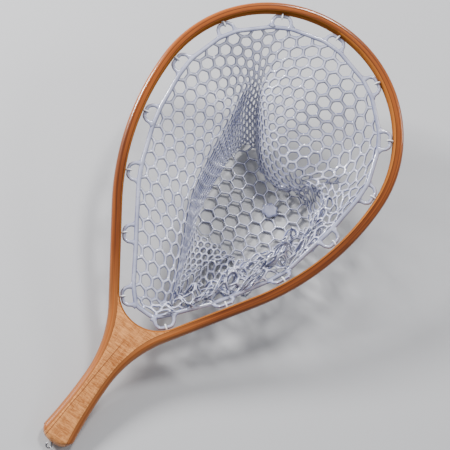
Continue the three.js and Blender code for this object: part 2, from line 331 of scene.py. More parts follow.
def grid_faces(rows, columns, close_rows=False, close_columns=False, start=0):
    """Quads of a grid of points, numbered row by row, closed either way where asked."""
    r = np.arange(rows if close_rows else rows - 1)[:, None]
    c = np.arange(columns if close_columns else columns - 1)[None, :]
    down, right = (r + 1) % rows, (c + 1) % columns
    corners = [r * columns + c, r * columns + right, down * columns + right, down * columns + c]
    return np.stack(np.broadcast_arrays(*corners), axis=-1).reshape(-1, 4) + start


def add_object(name, data):
    item = bpy.data.objects.new(name, data)
    bpy.context.scene.collection.objects.link(item)
    return item


def new_piece(name, points, faces, slot, replaced, look=None, grain=None, lit_share=None):
    """Makes one finished object at the origin, riding on the body. Its look is its slot's finish
    unless another is named."""
    mesh = bpy.data.meshes.new(name)
    faces = [face.tolist() if hasattr(face, "tolist") else list(face) for face in faces]
    mesh.from_pydata(np.asarray(points).reshape(-1, 3).tolist(), [], faces)
    mesh.validate()
    if grain is not None:
        layer = mesh.attributes.new("grain", "FLOAT_VECTOR", "POINT")
        layer.data.foreach_set("vector", np.asarray(grain, dtype=np.float32).ravel())
    # The lit share attribute is painted light: how much of a point's colour is the painted lit tint
    # rather than the painted shade.
    if lit_share is not None:
        layer = mesh.attributes.new("lit_share", "FLOAT", "POINT")
        layer.data.foreach_set("value", np.asarray(lit_share, dtype=np.float32).ravel())
    mesh.polygons.foreach_set("use_smooth", [True] * len(mesh.polygons))
    mesh.materials.append(material(look or slot))
    mesh.update()
    piece = add_object(name, mesh)
    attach(piece, BODY)
    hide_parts(*replaced)
    return piece


def soften(piece, angle=35):
    """Keeps edges sharper than the angle sharp on a smooth-shaded piece."""
    piece.data.set_sharp_from_angle(angle=math.radians(angle))


def smooth_ring(values, width):
    """Mean over a window of a closed line's points."""
    kernel = np.hanning(width + 2)[1:-1]
    kernel /= kernel.sum()
    half = width // 2
    wide = np.concatenate([values[-half:], values, values[:half]])
    return np.stack([np.convolve(column, kernel, "valid") for column in wide.T], axis=-1)


def sweep(path, side, up, half_width, half_depth, sides=12, closed=False):
    """Carries an oval along a path: point + side * a * cos t + up * b * sin t."""
    turn = np.linspace(0, 2 * math.pi, sides, endpoint=False)
    wide = np.broadcast_to(half_width, len(path))[:, None, None]
    deep = np.broadcast_to(half_depth, len(path))[:, None, None]
    across = side[:, None] * wide * np.cos(turn)[None, :, None]
    points = path[:, None] + (across + up[:, None] * deep * np.sin(turn)[None, :, None])
    faces = list(grid_faces(len(path), sides, close_rows=closed, close_columns=True))
    if not closed:
        faces.append(np.arange(sides)[::-1])
        faces.append(np.arange(sides) + (len(path) - 1) * sides)
    return points.reshape(-1, 3), faces


def sweep_lit_share(count, sides):
    """Lit share of a swept oval's points for the painted light: 1 along its top and bottom, 0 along
    its edges.
    """
    turn = np.linspace(0, 2 * math.pi, sides, endpoint=False)
    return np.tile(np.abs(np.sin(turn)), count)


def ways(path, closed):
    """Unit way ahead at each point of a path."""
    if closed:
        ahead = np.roll(path, -1, axis=0) - np.roll(path, 1, axis=0)
    else:
        ahead = np.gradient(path, axis=0)
    return unit(ahead)


def catmull_rom(a, b, c, d, t):
    """Cubic from b to c at share t, its slope at each end half the way between the neighbours."""
    square = (2 * a - 5 * b + 4 * c - d) * t**2
    return 0.5 * (2 * b + (c - a) * t + square + (3 * b - a - 3 * c + d) * t**3)


def smooth_path(corners, count, closed=False):
    """Catmull-Rom curve through a few points."""
    corners = np.asarray(corners, dtype=float)
    if closed:
        knots = np.concatenate([corners[-1:], corners, corners[:2]])
        spans = len(corners)
    else:
        first, last = 2 * corners[0] - corners[1], 2 * corners[-1] - corners[-2]
        knots = np.concatenate([first[None], corners, last[None]])
        spans = len(corners) - 1
    where = np.linspace(0, spans, count, endpoint=not closed)
    span = np.minimum(where.astype(int), spans - 1)
    return catmull_rom(*(knots[span + i] for i in range(4)), (where - span)[:, None])


# Shader maths.


class Value:
    """A shader socket that adds Math nodes when it is used in an expression."""

    def __init__(self, tree, socket):
        self.tree, self.socket = tree, socket

    def math(self, operation, *others):
        node = self.tree.nodes.new("ShaderNodeMath")
        node.operation = operation
        for slot, item in zip(node.inputs, (self, *others)):
            if isinstance(item, Value):
                self.tree.links.new(item.socket, slot)
            else:
                slot.default_value = item
        return Value(self.tree, node.outputs[0])

    def __add__(self, other):
        return self.math("ADD", other)

    def __sub__(self, other):
        return self.math("SUBTRACT", other)

    def __rsub__(self, other):
        return self.math("MULTIPLY", -1).math("ADD", other)

    def __mul__(self, other):
        return self.math("MULTIPLY", other)

    def __truediv__(self, other):
        return self.math("DIVIDE", other)

    __radd__ = __add__
    __rmul__ = __mul__

    def clamped(self):
        return self.math("MAXIMUM", 0).math("MINIMUM", 1)


class Paint:
    """One material's node tree."""

    def __init__(self, name):
        self.material = bpy.data.materials.new(name)
        self.material.use_nodes = True
        self.tree = self.material.node_tree
        self.shader = self.tree.nodes["Principled BSDF"]

    def node(self, kind, settings=None, output=0, **inputs):
        node = self.tree.nodes.new(kind)
        for key, value in (settings or {}).items():
            setattr(node, key, value)
        for key, value in inputs.items():
            self.feed(node.inputs[key.replace("_", " ")], value)
        return Value(self.tree, node.outputs[output])

    def feed(self, socket, value):
        if isinstance(value, Value):
            self.tree.links.new(value.socket, socket)
        elif isinstance(value, tuple) and len(value) == 3 and len(socket.default_value) == 4:
            socket.default_value = (*value, 1)
        else:
            socket.default_value = value

    def mix(self, share, first, second):
        node = self.tree.nodes.new("ShaderNodeMix")
        node.data_type = "RGBA"
        self.feed(node.inputs[0], share)
        self.feed(node.inputs[6], first)
        self.feed(node.inputs[7], second)
        return Value(self.tree, node.outputs[2])

    def place(self):
        """The piece's own coordinates."""
        return self.node("ShaderNodeTexCoord", output=3)

    def attribute(self, name, output):
        return self.node("ShaderNodeAttribute", {"attribute_name": name}, output)

    def parts(self, vector):
        node = self.tree.nodes.new("ShaderNodeSeparateXYZ")
        self.tree.links.new(vector.socket, node.inputs[0])
        return [Value(self.tree, output) for output in node.outputs]

    def stretched(self, vector, scale):
        return self.node("ShaderNodeMapping", Vector=vector, Scale=scale)

    def noise(self, vector, scale=1.0, detail=2.0, roughness=0.5):
        return self.node(
            "ShaderNodeTexNoise", Vector=vector, Scale=scale, Detail=detail, Roughness=roughness
        )

    def set(self, **values):
        for key, value in values.items():
            self.feed(self.shader.inputs[key.replace("_", " ")], value)

    def bump(self, height, distance, strength=0.4):
        normal = self.node("ShaderNodeBump", Height=height, Distance=distance, Strength=strength)
        self.set(Normal=normal)


def shade(tint, share):
    """A darker tint: each part times a share."""
    return tuple(share * part for part in tint)


def varnished_wood(name, light, dark, streak=420.0, along=9.0, figure=0.0):
    """Long grain streaks under a gloss coat. The grain attribute holds length, width and height."""
    paint = Paint(name)
    grain = paint.attribute("grain", 1)

    def streaks(length, width, **choices):
        return paint.noise(paint.stretched(grain, (length, width, width)), **choices)

    fine = streaks(along, streak, detail=5.0, roughness=0.62)
    broad = streaks(along * 0.5, streak * 0.28)
    share = ((fine - 0.5) * 1.7 + (broad - 0.5) * 1.6 + 0.5).clamped()
    if figure:
        curl = streaks(420.0, 60.0, detail=3.0, roughness=0.55)
        ray = streaks(1500.0, 210.0, detail=3.0, roughness=0.6)
        curl = ((curl - 0.5) * 2.0 + (ray - 0.5) * 3.4 + 0.5).clamped()
        share = (share * (1 - figure) + curl * figure).clamped()
    pore = ((streaks(along * 7, streak * 3.4) - 0.60) * 9.0).clamped()
    tone = paint.mix(share, dark, light)
    return paint, grain, share, paint.mix(pore * 0.35, tone, shade(dark, 0.5)), pore


def finish_wood(paint, tone, share, pore, coat=0.8, shine=0.15):
    """Satin wood under a clear varnish: light grain stands a little higher, and pores are sunk."""
    paint.set(Base_Color=tone, Roughness=0.34 - share * 0.1 + pore * 0.08, IOR=1.45)
    paint.set(Coat_Weight=coat, Coat_Roughness=0.14, Coat_IOR=1.45, Specular_IOR_Level=shine)
    paint.bump(share * 0.24 - pore * 0.5, 0.00025)
    return paint.material


def handle_share(paint):
    """0 round the hoop, rising to 1 over a fade's length above the throat, and 1 below it."""
    fade = 0.05
    y = paint.parts(paint.place())[1]
    return (1 - (y - lay([0, wood().throat_from_butt, 0])[1]) / fade).clamped()


def strip_wood(name, light, dark, seam=None, handle_tan_and_sheen=None):
    """Long-grained strip. With a handle tint it is varnished, and paler along the handle: partly
    its paler tone where the handle is shaped down through its grain, partly painted highlight on
    the handle's broad rounding; from the seam's inset inwards it darkens to a glue line."""
    paint, grain, share, tone, pore = varnished_wood(name, light, dark)
    if not handle_tan_and_sheen:
        return finish_wood(paint, tone, share, pore, coat=0.0, shine=0.0)
    handle = handle_share(paint)
    # Along the handle the tone is mixed half way to the paler handle tint: partly the wood's tone
    # there, partly painted highlight.
    tone = paint.mix(handle * 0.5, tone, paint.mix(share, shade(handle_tan_and_sheen, 0.55), handle_tan_and_sheen))
    if seam:
        edge = 0.0002
        line = ((paint.parts(grain)[1] - seam) / edge).clamped()
        tone = paint.mix(line * (0.72 - handle * 0.3), tone, shade(dark, 0.35))
    return finish_wood(paint, tone, share, pore)


def veneer_wood(name, tint, strip):
    """Dark thin strip that fades into its neighbours where the handle rounds over: painted, the
    fade standing for the strip lost in the handle's highlight and shade.
    """
    paint, _, share, tone, pore = varnished_wood(name, tint, shade(tint, 0.5))
    tone = paint.mix(handle_share(paint) * 0.8, tone, strip)
    return finish_wood(paint, tone, share, pore)


def core_wood(name, light, dark):
    """Cross-figured light wood with one thin dark line of grain down its left half. The line starts
    left of the middle at the butt, leans and wavers, and fades out before the throat."""
    offset, lean, half_width, ends, fade = 0.0100, 0.083, 0.00040, 0.112, 0.012
    line_tint = (0.11, 0.024, 0.009)
    paint, grain, share, tone, pore = varnished_wood(
        name, light, dark, streak=260.0, along=14.0, figure=0.62
    )
    along, across = paint.parts(grain)[:2]
    waver = (paint.noise(paint.stretched(grain, (40.0, 1.0, 1.0)), detail=1.0) - 0.5) * 0.0012
    middle = across - along * lean + offset + waver
    seam = (1.35 - middle.math("ABSOLUTE") / half_width).clamped()
    fades = (1.0 - (along - ends) / fade).clamped()
    tone = paint.mix(seam * fades * 0.92, tone, line_tint)
    return finish_wood(paint, tone, share, pore)


def clear_rubber(name, tint, edge):
    """Soft clear rubber with painted light and shade: a milky painted highlight along the top of a
    strand, deeper painted shade at its sides, a little uneven.
    """
    paint = Paint(name)
    cloud = paint.noise(paint.place(), scale=60.0, detail=3.0)
    speck = paint.noise(paint.place(), scale=900.0)
    # The lit share mixes the painted shade at a strand's sides with the painted lit tint on its
    # top, with soft random clouds.
    share = (paint.attribute("lit_share", 2) + (cloud - 0.5) * 0.5).clamped()
    paint.set(Base_Color=paint.mix(share, edge, tint), Roughness=0.20 + cloud * 0.12)
    paint.set(Transmission_Weight=0.18, IOR=1.45, Specular_IOR_Level=0.7)
    paint.set(Coat_Weight=1.0, Coat_Roughness=0.08)
    paint.bump(speck, 0.00012, 0.35)
    return paint.material


def nylon_line(name, tint):
    """Pale smooth line with fine clouds."""
    paint = Paint(name)
    cloud = paint.noise(paint.place(), scale=400.0)
    paint.set(Base_Color=paint.mix(cloud, shade(tint, 0.85), tint))
    paint.set(Roughness=0.3 + cloud * 0.15, Specular_IOR_Level=0.5, IOR=1.5)
    return paint.material


def bright_steel(name, tint):
    """Bright metal with fine scratches across its length."""
    paint = Paint(name)
    scratches = paint.noise(paint.stretched(paint.place(), (300.0, 2500.0, 300.0)), detail=4.0)
    paint.set(Base_Color=paint.mix(scratches, shade(tint, 0.7), tint))
    paint.set(Metallic=1.0, Roughness=0.16 + scratches * 0.2)
    paint.bump(scratches, 0.00003, 0.3)
    return paint.material


def pale_floor(name):
    paint = Paint(name)
    paint.set(Base_Color=(0.50, 0.50, 0.51), Roughness=0.9)
    return paint.material


MATERIALS = {}


def material(name):
    """Makes each finish once."""
    if name not in MATERIALS:
        tints = colours()
        red, dark, handle_tan_and_sheen = tints.red_light[:], tints.red_dark[:], tints.handle_tan_and_sheen[:]
        seam_width = 0.0006
        makers = {
            "reddish_wood": (strip_wood, red, dark, None, handle_tan_and_sheen),
            "reddish_wood_inner": (
                strip_wood, red, dark, Outline(wood()).strips - seam_width, handle_tan_and_sheen
            ),
            "dark_veneer": (veneer_wood, tints.veneer[:], red),
            "light_liner": (strip_wood, tints.liner[:], shade(tints.liner, 0.5)),
            "figured_core": (core_wood, tints.maple_light[:], tints.maple_dark[:]),
            "clear_rubber": (clear_rubber, tints.rubber[:], tints.rubber_painted_shade[:]),
            "lacing_line": (nylon_line, tints.line[:]),
            "bright_steel": (bright_steel, tints.steel[:]),
        }
        make, *choices = makers[name]
        MATERIALS[name] = make(name, *choices)
    return MATERIALS[name]


# Wooden pieces.


def wood_height(outline, inset, points):
    """Half thickness: the lowest of the outer edge's, the inner edge's and the butt's rounding."""
    sizes = outline.sizes
    half = sizes.depth / 2
    y = points[..., 1]
    to_handle = np.clip((sizes.throat_from_butt + 0.02 - y) / 0.07, 0, 1)
    corner = sizes.hoop_corner + (sizes.handle_corner - sizes.hoop_corner) * to_handle
    outer = rounded(half, corner, inset)
    butt = rounded(half, sizes.butt_corner, np.maximum(y - outline.butt_curve(points[..., 0]), 0))
    return np.minimum(outer, np.where(y < sizes.neck_from_butt, butt, half))


def strip_section(start, thickness, share):
    """Insets across the top at shares of the thickness, then back across the bottom, and the sign
    of each one's height."""
    top = start + thickness * share
    return np.concatenate([top, top[::-1]]), np.repeat([1, -1], len(share))


def strip_grain(run, inset, height):
    """Length along the strip, inset and height of each point, for the grain."""
    values = np.broadcast_arrays(run[:, None], inset[None, :], height)
    return np.stack(values, axis=-1).reshape(-1, 3)


def bent_strip(name, start, thickness, slot, look=None, crowd=1.0, count=6):
    """A section carried from the left butt round the tip to the right butt. Its points crowd
    towards the outer edge by a power of their share."""
    outline = Outline(wood())
    inset, sign = strip_section(start, thickness, np.linspace(0, 1, count) ** crowd)
    line, distance = outline.strip(inset)
    height = wood_height(outline, distance, line) * sign
    points = np.concatenate([line, height[..., None]], axis=-1)
    middle = outline.strip([start + thickness / 2])[0][:, 0]
    grain = strip_grain(distances(middle) + start * 7, inset, height)
    rows, columns = line.shape[:2]
    faces = list(grid_faces(rows, columns, close_columns=True))
    pair = np.arange(count - 1)
    cap = np.stack([pair, columns - 1 - pair, columns - 2 - pair, pair + 1], axis=-1)
    faces += list(cap) + list(cap[:, ::-1] + (rows - 1) * columns)
    piece = new_piece(name + "_bent", lay(points), faces, slot, [name], look, grain)
    soften(piece)


class NET_OT_strips(bpy.types.Operator):
    """Three strips bent round the tip, with their tails down the handle, and the opening's liner"""

    bl_idname = "net.strips"
    bl_label = "Bent strips"

    def execute(self, context):
        sizes = wood()
        veneer = sizes.outer_strip + sizes.glue / 3
        middle = sizes.outer_strip + sizes.veneer + sizes.glue * 1.2
        thick = sizes.middle_strip + sizes.glue * 1.4
        bent_strip("hoop_outer_strip", 0, veneer, "reddish_wood", crowd=2.0, count=9)
        bent_strip("hoop_dark_veneer", veneer, sizes.veneer + sizes.glue, "dark_veneer")
        bent_strip(
            "hoop_middle_strip", middle, thick, "reddish_wood", "reddish_wood_inner", count=9
        )
        self.liner()
        return {"FINISHED"}

    def liner(self):
        """Closed ring round the opening, its inner edge rounded."""
        outline = Outline(wood())
        sizes = outline.sizes
        start = outline.band - sizes.liner - sizes.glue * 0.4
        share = 1 - np.linspace(1, 0, 8) ** 2
        inset, sign = strip_section(start, sizes.liner + sizes.glue * 0.4, share)
        line = outline.opening(inset)
        height = rounded(sizes.depth / 2, sizes.inner_corner, outline.band - inset) * sign
        height = np.broadcast_to(height[None, :], line.shape[:2])
        points = np.concatenate([line, height[..., None]], axis=-1)
        faces = grid_faces(*line.shape[:2], close_rows=True, close_columns=True)[:, ::-1]
        piece = new_piece(
            "opening_liner", lay(points), faces, "light_liner", ["hoop_inner_liner"],
            grain=strip_grain(distances(line[:, 0]), inset, height),
        )
        soften(piece)


class NET_OT_core(bpy.types.Operator):
    """Figured wedge between the strips, from the round butt to the hollow throat"""

    bl_idname = "net.core"
    bl_label = "Handle core"

    def execute(self, context):
        lanes, steps, rounds = 41, 90, 30
        outline = Outline(wood())
        sizes = outline.sizes
        inset = outline.strips + sizes.glue * 0.5
        line, distance = outline.strip([inset], 80)
        right = line[line.shape[0] // 2:, 0]
        heights, halves = right[::-1, 1], right[::-1, 0]
        near = distance[line.shape[0] // 2:, 0][::-1]
        radius = outline.throat + sizes.liner + sizes.glue * 0.5
        across = np.sin(np.linspace(-1, 1, lanes) * math.pi / 2)
        low = np.zeros_like(across)
        high = np.full_like(across, sizes.throat_from_butt)
        for _ in range(rounds):
            low = outline.butt_curve(across * np.interp(low, heights, halves))
            x = across * np.interp(high, heights, halves)
            arc = outline.throat_y - np.sqrt(np.maximum(radius**2 - x**2, 0))
            high = 0.5 * high + 0.5 * arc
        share = np.linspace(0, 1, steps)[:, None]
        ease = share - 0.03 * np.sin(2 * math.pi * share)
        y = low[None, :] + (high - low)[None, :] * ease
        x = across[None, :] * np.interp(y, heights, halves)
        flat = np.stack([x, y], axis=-1)
        from_edge = np.interp(y, heights, near) + np.interp(y, heights, halves) - np.abs(x)
        height = wood_height(outline, from_edge, flat)
        top = np.stack([x, y, height], axis=-1)
        bottom = np.stack([x, y, -height], axis=-1)
        points = np.concatenate([top.reshape(-1, 3), bottom.reshape(-1, 3)])
        rows, columns = x.shape
        faces = list(grid_faces(rows, columns))
        faces += list(grid_faces(rows, columns, start=rows * columns)[:, ::-1])
        number = np.arange(rows * columns).reshape(rows, columns)
        rim = np.concatenate([number[0], number[1:, -1], number[-1, -2::-1], number[-2:0:-1, 0]])
        after = np.roll(rim, -1)
        faces += list(np.stack([after, rim, rim + rows * columns, after + rows * columns], axis=-1))
        piece = new_piece(
            "handle_wedge", lay(points), faces, "figured_core", ["handle_core"],
            grain=points[:, [1, 0, 2]],
        )
        soften(piece)
        return {"FINISHED"}


class NET_OT_eye(bpy.types.Operator):
    """Bright wire screw eye in the butt: a straight shank and an open ring"""

    bl_idname = "net.eye"
    bl_label = "Screw eye"

    def execute(self, context):
        sizes = rubber()
        radius = sizes.eye_wire / 2
        ring = sizes.eye_inside + radius
        offset, out, open_to, wound = -0.0011, 0.0012, 0.15, math.radians(300)
        centre = np.array([offset, -out - ring])
        turn = math.pi / 2 - np.linspace(open_to, 1, 40) * wound
        loop = centre + ring * np.stack([np.cos(turn), np.sin(turn)], axis=-1)
        shank = np.array([[offset, 0.014], [offset, 0.007], [offset, 0.0015]])
        flat = smooth_path(np.concatenate([shank, loop[::3]]), 90)
        path = np.concatenate([flat, np.zeros((len(flat), 1))], axis=-1)
        ahead = ways(path, False)
        up = np.tile([0.0, 0.0, 1.0], (len(path), 1))
        side = np.cross(up, ahead)
        points, faces = sweep(path, side, up, radius, radius, sides=14)
        new_piece("butt_eye", lay(points), faces, "bright_steel", ["screw_eye"])
        return {"FINISHED"}


# Bag.


def droop(place):
    """Angle by which the hem and tabs turn down about the hoop's face, at a place counted in tabs:
    a flat-topped bell round its middle."""
    middle, reach = 5.5, 1.0
    return rubber().droop * np.exp(-(((np.asarray(place) - middle) / reach) ** 4))


def turned_down(out, height, angle):
    """A point inside the hoop's face, as outward distance and height, turned down about a line just
    inside the face, and moved in by a share of the lacing line that then lies between."""
    pivot = -rubber().tab_gap
    angle = angle * np.clip(out / pivot, 0, 1)
    sine, cosine = np.sin(angle), np.cos(angle)
    room = 0.8 * rubber().line * sine
    beyond = out - pivot
    return pivot - room + beyond * cosine - height * sine, beyond * sine + height * cosine


def hem_line():
    """Closed line inside the hoop, straight between the feet of neighbouring tabs and softened."""
    count, softening = 900, 13
    sizes = rubber()
    middle, outward, along = tab_places()
    depth = np.full(TAB_COUNT, -(sizes.tab_depth + sizes.hem_width / 2))
    out, height = turned_down(depth, 0, droop(np.arange(TAB_COUNT)))
    foot = middle + outward * out[:, None]
    pair = np.stack([foot - along * sizes.tab_half, foot + along * sizes.tab_half], axis=1)
    pair = np.concatenate([pair, np.broadcast_to(height[:, None, None], (TAB_COUNT, 2, 1))], axis=2)
    corners = pair.reshape(-1, 3)
    corners = np.concatenate([corners, corners[:1]])
    run = distances(corners)
    where = np.linspace(0, run[-1], count, endpoint=False)
    line = np.stack([np.interp(where, run, column) for column in corners.T], axis=-1)
    return smooth_ring(line, softening)


def hem_rise(line):
    """Gentle rise and fall of the soft hem off the hoop's plane."""
    share = np.linspace(0, 2 * math.pi, len(line), endpoint=False)
    return 0.0009 * np.sin(5 * share + 1) + 0.0007 * np.sin(9 * share + 2)


def laid_hem():
    """The hem's line with its rise and fall, at rest."""
    line = hem_line()
    line[:, 2] += hem_rise(line)
    return lay(line)


class NET_OT_hem(bpy.types.Operator):
    """Thicker rubber band round the bag's mouth: an oval section carried along the hem line"""

    bl_idname = "net.hem"
    bl_label = "Hem"

    def execute(self, context):
        sizes, sides = rubber(), 14
        path = laid_hem()
        up = at_rest([0, 0, 1], len(path))
        side = np.cross(up, ways(path, True))
        points, faces = sweep(
            path, side, up, sizes.hem_width / 2, sizes.hem_depth / 2, sides, closed=True
        )
        faces = [face[::-1] for face in faces]
        new_piece(
            "mouth_band", points, faces, "clear_rubber", ["bag_hem"],
            # Painted light: the band's top and bottom take part of the painted lit tint, its sides
            # the painted shade.
            lit_share=sweep_lit_share(len(path), sides) ** 2 * 0.55,
        )
        return {"FINISHED"}


class NET_OT_tabs(bpy.types.Operator):
    """Moulded loops on the hem, each a bar that widens into webbed feet"""

    bl_idname = "net.tabs"
    bl_label = "Tabs"

    def execute(self, context):
        sizes, sides = rubber(), 12
        random = np.random.default_rng(SEED)
        for index, (middle, outward, along) in enumerate(zip(*tab_places())):
            stretch = 1 + 0.05 * random.standard_normal()
            lean = 0.0006 * random.standard_normal()
            near = sizes.tab_gap + sizes.tab_bar / 2
            far = sizes.tab_depth + sizes.hem_width * 0.55
            half = sizes.tab_half * stretch
            corners = np.array([
                [-half - 0.0002, -far], [-half + 0.0004, -far * 0.78],
                [-half + 0.0009, -far * 0.52], [-half + 0.0020, -near - 0.0030],
                [-half + 0.0046, -near - 0.0004], [0, -near],
            ])
            mirror = corners[-2::-1] * np.array([-1, 1])
            flat = smooth_path(np.concatenate([corners, mirror]), 64)
            flat[:, 0] += lean * (flat[:, 1] + far) / far
            out, height = turned_down(flat[:, 1], 0, droop(index))
            spot = middle + flat[:, :1] * along + out[:, None] * outward
            path = lay(np.concatenate([spot, height[:, None]], axis=-1))
            lean_over = float(droop(index))
            flat_up = [*(-math.sin(lean_over) * outward), math.cos(lean_over)]
            up = at_rest(flat_up, len(path))
            side = np.cross(up, ways(path, False))
            share = np.abs(np.linspace(-1, 1, len(path)))
            end = 1 - np.clip((share - 0.93) / 0.07, 0, 1) ** 2
            web = np.clip((share - 0.68) / 0.26, 0, 1) ** 1.6 * end
            wide = sizes.tab_bar / 2 * (1 + 1.35 * web)
            deep = sizes.tab_bar / 2 * (0.82 - 0.32 * np.clip((share - 0.70) / 0.30, 0, 1))
            points, faces = sweep(path, side, up, wide, deep, sides)
            faces = [face[::-1] for face in faces]
            number = f"{index + 1:02d}"
            new_piece(
                f"tab_loop_{number}", points, faces, "clear_rubber", [f"bag_tab_{number}"],
                # Painted light: the loop's top and bottom take part of the painted lit tint, its
                # sides the painted shade.
                lit_share=sweep_lit_share(len(path), sides) ** 2 * 0.6,
            )
        return {"FINISHED"}


class NET_OT_stitches(bpy.types.Operator):
    """Short loops of line out of the hoop's face, their inner ends sunk into the wood, and round
    the tabs
    """

    bl_idname = "net.stitches"
    bl_label = "Lacing stitches"

    def execute(self, context):
        sizes = rubber()
        radius = sizes.line / 2
        near = -sizes.tab_gap
        far = near - sizes.tab_bar - radius - 0.0003
        over = sizes.tab_bar * 0.41 + radius + 0.0002
        half = np.array([
            [0.0064, 0.0006], [0.0010, 0.0007], [near / 4, 0.0011], [near, over * 0.9],
            [near - 0.0014, over], [far + 0.0008, over * 0.8],
        ])
        loop = np.concatenate([[[0.0070, 0]], half, [[far, 0]], half[::-1] * np.array([1, -1])])
        random = np.random.default_rng(SEED + 1)
        for index, (middle, outward, along) in enumerate(zip(*tab_places())):
            line = smooth_path(loop, 72, closed=True)
            slip = 0.0005 * random.standard_normal() * np.clip(-line[:, :1] / 0.004, 0, 1)
            out, height = turned_down(line[:, 0], line[:, 1], droop(index))
            spot = middle + out[:, None] * outward + slip * along
            path = lay(np.concatenate([spot, height[:, None]], axis=-1))
            ahead = ways(path, True)
            flat = at_rest([*along, 0], len(path))
            side = unit(flat - ahead * np.sum(flat * ahead, axis=1, keepdims=True))
            up = np.cross(ahead, side)
            points, faces = sweep(path, side, up, radius, radius, sides=8, closed=True)
            number = f"{index + 1:02d}"
            new_piece(
                f"line_loop_{number}", points, faces, "lacing_line", [f"lacing_stitch_{number}"]
            )
        return {"FINISHED"}


# How the wall lies, once for each tab, clockwise from the tip, in metres from the butt's end along
# the floor: where its crest lies, where it tucks under, where it meets the floor, and the share of
# its rows above the crest and above the tuck.
FOLDS = np.array([
    [-0.018, 0.407, 0.060, -0.013, 0.401, 0.030, 0.006, 0.386, 0.004, 0.54, 0.78],
    [0.012, 0.387, 0.052, 0.008, 0.381, 0.024, 0.016, 0.375, 0.004, 0.60, 0.82],
    [0.050, 0.376, 0.046, 0.045, 0.373, 0.020, 0.040, 0.372, 0.004, 0.54, 0.79],
    [0.081, 0.380, 0.046, 0.073, 0.384, 0.018, 0.067, 0.379, 0.004, 0.42, 0.74],
    [0.087, 0.336, 0.062, 0.109, 0.345, 0.038, 0.087, 0.357, 0.004, 0.38, 0.70],
    [0.070, 0.289, 0.054, 0.093, 0.291, 0.031, 0.077, 0.328, 0.004, 0.44, 0.70],
    [0.046, 0.232, 0.044, 0.062, 0.230, 0.024, 0.060, 0.290, 0.004, 0.46, 0.70],
    [0.022, 0.186, 0.035, 0.025, 0.213, 0.018, 0.044, 0.278, 0.004, 0.34, 0.54],
    [0.013, 0.187, 0.034, 0.011, 0.214, 0.018, 0.020, 0.278, 0.004, 0.26, 0.52],
    [-0.007, 0.235, 0.042, -0.002, 0.244, 0.018, -0.008, 0.279, 0.004, 0.30, 0.62],
    [-0.029, 0.283, 0.046, -0.022, 0.294, 0.018, -0.017, 0.310, 0.004, 0.35, 0.70],
    [-0.040, 0.338, 0.050, -0.030, 0.347, 0.020, -0.021, 0.356, 0.004, 0.39, 0.71],
    [-0.046, 0.386, 0.056, -0.035, 0.384, 0.026, -0.021, 0.374, 0.004, 0.40, 0.68],
    [-0.050, 0.422, 0.062, -0.040, 0.408, 0.034, -0.017, 0.390, 0.004, 0.37, 0.63],
    [-0.040, 0.432, 0.066, -0.030, 0.418, 0.036, -0.006, 0.396, 0.004, 0.37, 0.65],
])


def around(values, share):
    """Closed smooth curve through one row of values for each tab, at shares of the whole turn."""
    where = np.mod(np.asarray(share), 1) * len(values)
    span = where.astype(int)
    near = (values[(span + i - 1) % len(values)] for i in range(4))
    return catmull_rom(*near, (where - span)[..., None])


